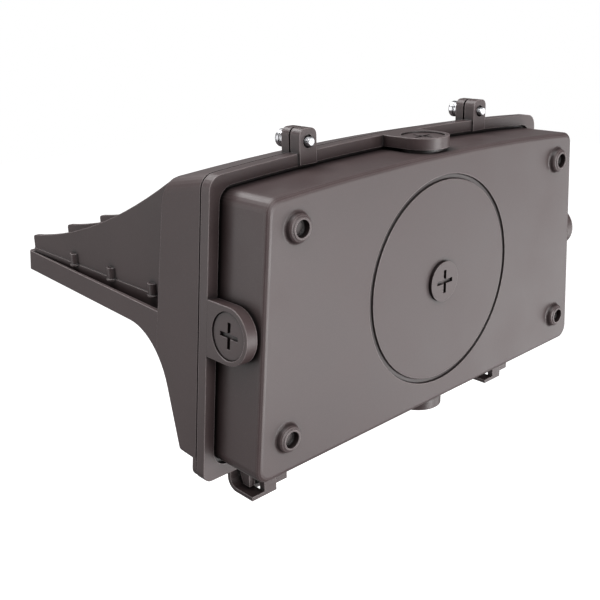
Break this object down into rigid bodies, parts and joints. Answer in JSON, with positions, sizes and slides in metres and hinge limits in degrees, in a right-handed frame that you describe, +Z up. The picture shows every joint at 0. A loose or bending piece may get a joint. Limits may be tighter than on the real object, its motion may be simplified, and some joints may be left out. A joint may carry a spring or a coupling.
{
  "type": "wall pack light",
  "caption": "Outdoor wall luminaire: cast box with conduit entries and a hinged, finned front whose head lights downwards through a flat lens.",
  "frame": {"origin": "middle of the round junction-box outline on the rear, in the wall plane at the rims of the mounting bosses", "axes": "+Y into the wall, so the lamp faces -Y; +Z up; +X to the right of someone who faces the lamp"},
  "size_m": [0.2976, 0.2468, 0.1984],
  "materials": {
    "cast_bronze": "fine satin powder coat on die-cast aluminium",
    "plug_bronze": "satin powder coat on cast plugs",
    "gasket_rubber": "matte silicone",
    "pin_steel": "blackened stainless",
    "ground_green": "green passivated",
    "nylon": "natural nylon",
    "bright_steel": "bright stainless",
    "board_white": "white solder mask",
    "led_phosphor": "yellow phosphor",
    "optic_clear": "clear moulded acrylic",
    "lens_glass": "tempered glass",
    "zinc_sheet": "zinc-plated sheet",
    "driver_case": "white enamelled can",
    "terminal_black": "moulded",
    "lead_insulation": "wire insulation",
    "lead_red": "wire insulation"
  },
  "bodies": {
    "rear_box": {"back_box": "cast_bronze", "rear_plug": "plug_bronze", "side_plug_right": "plug_bronze", "side_plug_left": "plug_bronze", "top_plug": "plug_bronze", "bottom_plug": "plug_bronze", "box_gasket": "gasket_rubber", "hinge_pins": "pin_steel", "ground_screw": "ground_green"},
    "door": {"front_housing": "cast_bronze", "retaining_washers": "nylon", "led_board": "board_white", "led_chips": "led_phosphor", "board_screws": "bright_steel", "optic_plate": "optic_clear", "lens": "lens_glass", "lens_gasket": "gasket_rubber", "lens_frame": "cast_bronze", "lens_frame_screws": "bright_steel", "driver_bracket": "zinc_sheet", "bracket_screws": "bright_steel", "driver": "driver_case", "driver_screws": "bright_steel", "terminal_block": "terminal_black", "terminal_screws": "bright_steel", "supply_leads": "lead_insulation", "led_leads": "lead_red"},
    "latch_right": {"captive_screw_right": "bright_steel", "lock_washer_right": "bright_steel", "flat_washer_right": "bright_steel"},
    "latch_left": {"captive_screw_left": "bright_steel", "lock_washer_left": "bright_steel", "flat_washer_left": "bright_steel"}
  },
  "joints": [
    {"name": "door_hinge", "type": "hinge", "parent": "rear_box", "child": "door", "pos_m": [0, -0.05, -0.0976], "axis": [1, 0, 0], "range_deg": [0, 90]},
    {"name": "latch_screw_right", "type": "slide", "parent": "door", "child": "latch_right", "axis": [0, -1, 0], "range_m": [0, 0.011]},
    {"name": "latch_screw_left", "type": "slide", "parent": "door", "child": "latch_left", "axis": [0, -1, 0], "range_m": [0, 0.011]}
  ]
}
